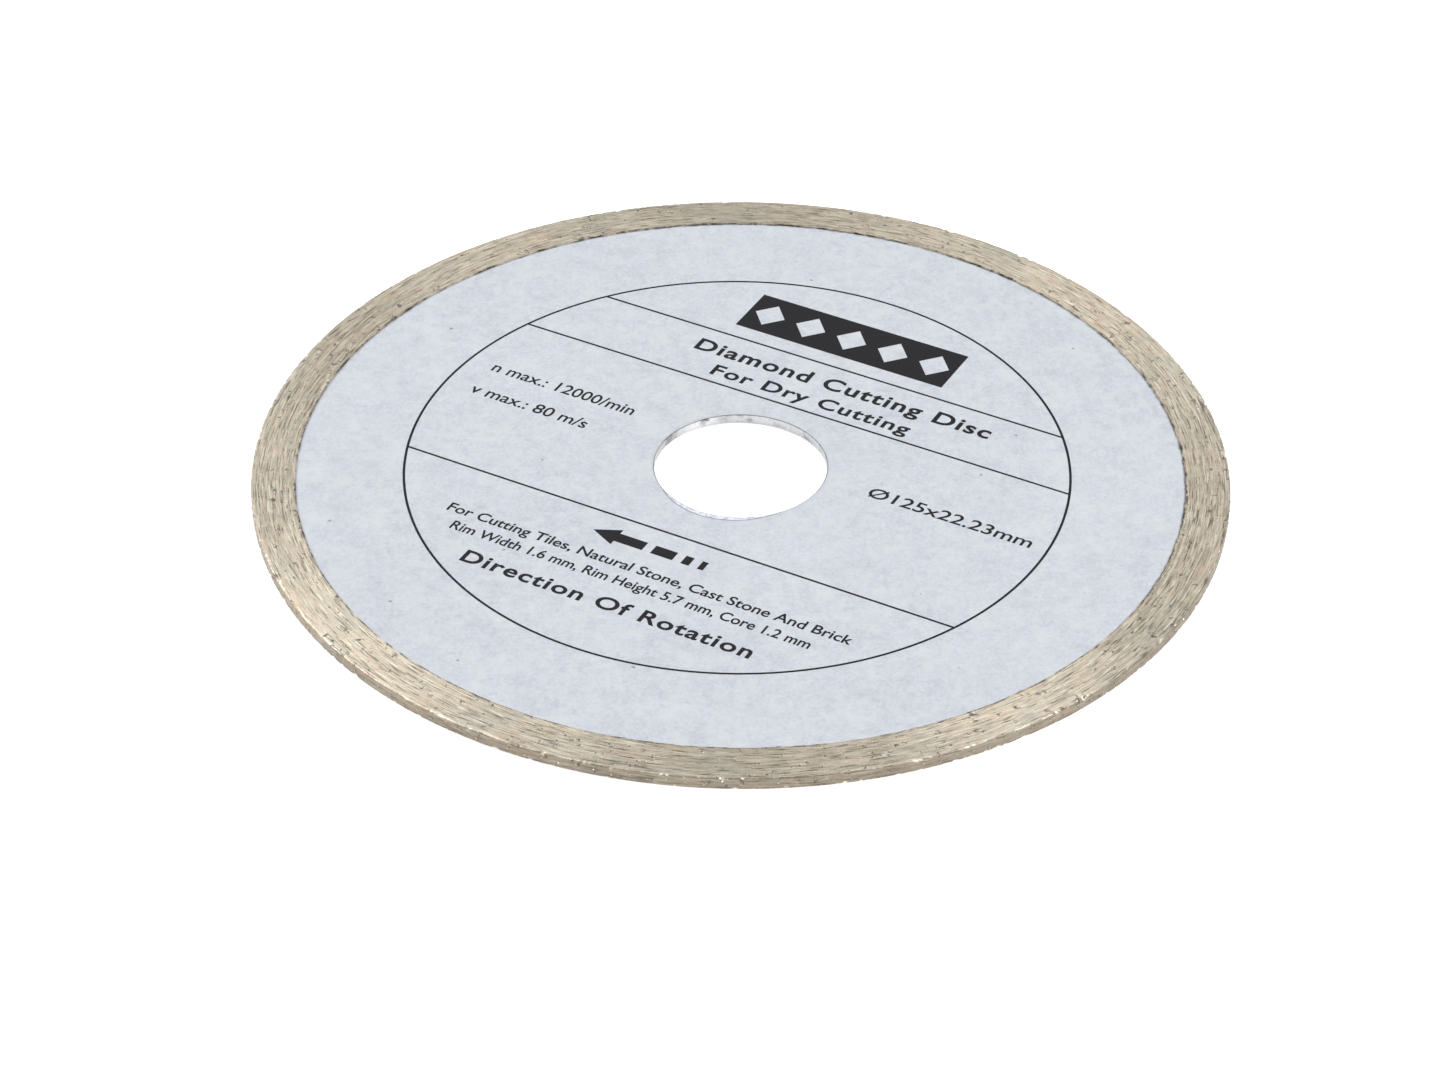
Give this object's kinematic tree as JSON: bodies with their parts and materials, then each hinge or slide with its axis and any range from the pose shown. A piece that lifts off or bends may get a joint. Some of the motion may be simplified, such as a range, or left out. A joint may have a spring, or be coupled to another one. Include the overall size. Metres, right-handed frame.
{
  "type": "diamond blade",
  "caption": "Round continuous-rim diamond cutting disc: thin lacquered steel core with a plain central bore, a sintered bronze-bond rim with set diamond crystals, and a printed front face.",
  "frame": {"origin": "centre of the bore, half way through the steel core", "axes": "+Z along the spin axis, out of the printed front face; +X and +Y in the plane of the disc, with the print's rows turned 28.35 degrees clockwise from +X"},
  "size_m": [0.125, 0.125, 0.0016],
  "materials": {
    "core_steel": "punched and ground sheet steel",
    "bronze_bond": "sintered, ground with fine circular marks",
    "diamond": "yellowish synthetic diamond crystals",
    "lacquer": "light blue-grey matt lacquer",
    "ink": "near-black printing ink"
  },
  "bodies": {
    "root": {"steel_core": "core_steel", "sintered_rim": "bronze_bond", "diamond_grit": "diamond", "front_lacquer": "lacquer", "back_lacquer": "lacquer", "print_border_ring": "ink", "print_divider_lines": "ink", "print_emblem": "ink", "print_rotation_arrow": "ink"}
  },
  "joints": []
}
